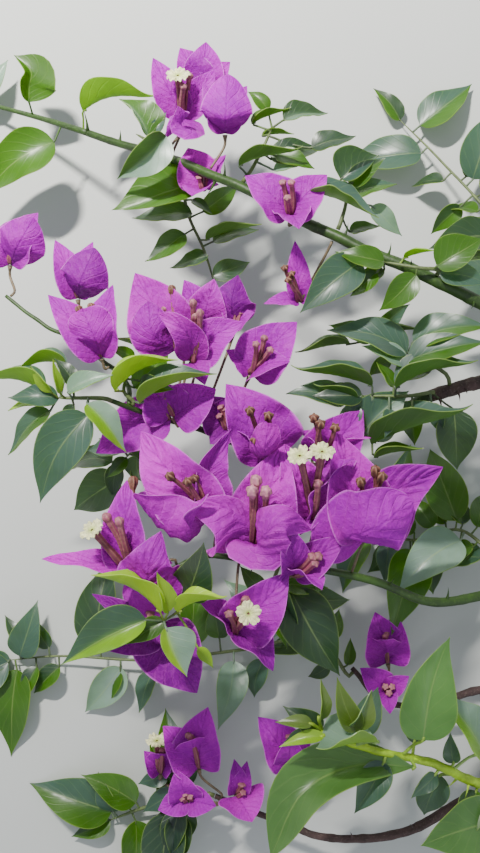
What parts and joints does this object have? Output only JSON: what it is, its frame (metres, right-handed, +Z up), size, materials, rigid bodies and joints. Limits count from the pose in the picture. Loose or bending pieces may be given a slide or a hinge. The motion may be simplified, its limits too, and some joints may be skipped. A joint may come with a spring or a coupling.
{
  "type": "flowering bougainvillea branch",
  "caption": "Cut flowering branch lying flat: a woody stem with an arching cane and side shoots, sprays of pointed leaves, and blooms of papery magenta bracts.",
  "frame": {"origin": "the middle of the footprint, on the ground that the cut branch lies on", "axes": "+Z up from the ground, +Y from the cut end towards the growing tips, +X to the right seen from above"},
  "size_m": [0.3642, 0.4683, 0.136],
  "materials": {
    "bark": "rough grey-brown bark",
    "green_stem": "smooth green cane",
    "leaf": "glossy dark grey-green leaf with a pale midrib",
    "bract": "matt papery magenta bract with a fine network of veins"
  },
  "bodies": {
    "root": {"main_stem": "bark", "arching_cane": "green_stem", "woody_limb": "bark", "middle_shoot": "green_stem", "left_twig": "green_stem", "main_shoot": "green_stem", "low_shoot": "bark", "low_side_shoot": "bark", "young_shoot": "green_stem", "main_bloom_1": "bract", "main_bloom_2": "bract", "main_bloom_3": "bract", "main_bloom_4": "bract", "main_bloom_5": "bract", "main_bloom_6": "bract", "main_bloom_7": "bract", "main_bloom_8": "bract", "main_bloom_9": "bract", "main_bloom_10": "bract", "middle_bloom_1": "bract", "middle_bloom_2": "bract", "middle_bloom_3": "bract", "middle_bloom_4": "bract", "middle_bloom_5": "bract", "middle_bloom_6": "bract", "left_bloom_1": "bract", "left_bloom_2": "bract", "left_bloom_3": "bract", "top_bloom_1": "bract", "top_bloom_2": "bract", "top_bloom_3": "bract", "top_bloom_4": "bract", "top_bloom_5": "bract", "right_bloom_1": "bract", "right_bloom_2": "bract", "low_bloom_1": "bract", "low_bloom_2": "bract", "low_bloom_3": "bract", "low_bloom_4": "bract", "low_bloom_5": "bract", "low_bloom_6": "bract", "low_bloom_7": "bract", "cane_tip_leaves": "leaf", "cane_left_leaves": "leaf", "cane_hanging_leaves": "leaf", "cane_upper_leaves": "leaf", "cane_right_leaves": "leaf", "cane_foot_leaves": "leaf", "limb_upper_leaves": "leaf", "limb_lower_leaves": "leaf", "left_leaves": "leaf", "middle_leaves": "leaf", "shaded_leaves": "leaf", "young_tip_leaves": "leaf", "cluster_leaves": "leaf", "young_shoot_leaves": "leaf", "low_left_leaves": "leaf", "low_right_leaves": "leaf", "low_front_leaves": "leaf", "low_far_leaves": "leaf"}
  },
  "joints": []
}
